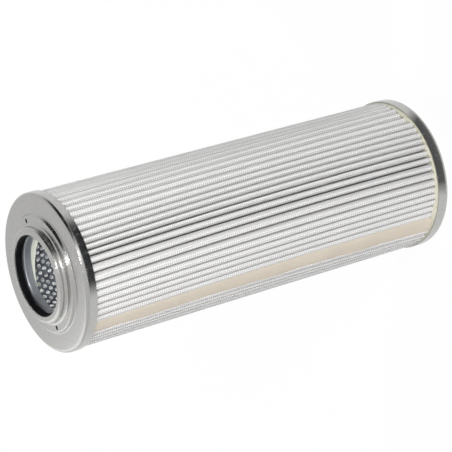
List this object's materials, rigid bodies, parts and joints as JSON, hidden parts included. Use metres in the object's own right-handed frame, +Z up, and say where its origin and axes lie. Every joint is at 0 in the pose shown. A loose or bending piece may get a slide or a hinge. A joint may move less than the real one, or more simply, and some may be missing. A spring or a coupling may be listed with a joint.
{
  "type": "hydraulic filter",
  "caption": "Pleated hydraulic filter element with pressed steel end caps, one closed and one with a raised, O-ring sealed neck opening into a perforated core.",
  "frame": {"origin": "middle of the closed end cap's flat face, where the filter stands", "axes": "+Z up the filter's axis to the open end; the two punched marks in the open cap lie on X"},
  "size_m": [0.095, 0.095, 0.2669],
  "materials": {
    "cap_steel": "satin zinc plate, lightly mottled",
    "core_steel": "bright zinc plate",
    "seal_rubber": "smooth, slightly glossy",
    "adhesive": "cast, smooth",
    "seam_adhesive": "smooth beige",
    "wire_cloth": "fine woven wire, bright",
    "fleece": "spun-bonded, matt",
    "media": "glass fibre, matt"
  },
  "bodies": {
    "root": {"open_end_cap": "cap_steel", "closed_end_cap": "cap_steel", "o_ring_seal": "seal_rubber", "seal_backing_ring": "core_steel", "core_tube": "core_steel", "core_adhesive_bead": "adhesive", "open_end_potting": "adhesive", "closed_end_potting": "adhesive", "side_seam_strip": "seam_adhesive", "outer_support_mesh": "wire_cloth", "outer_drainage_fleece": "fleece", "glass_fibre_media": "media", "inner_drainage_fleece": "fleece", "inner_support_mesh": "wire_cloth"}
  },
  "joints": []
}
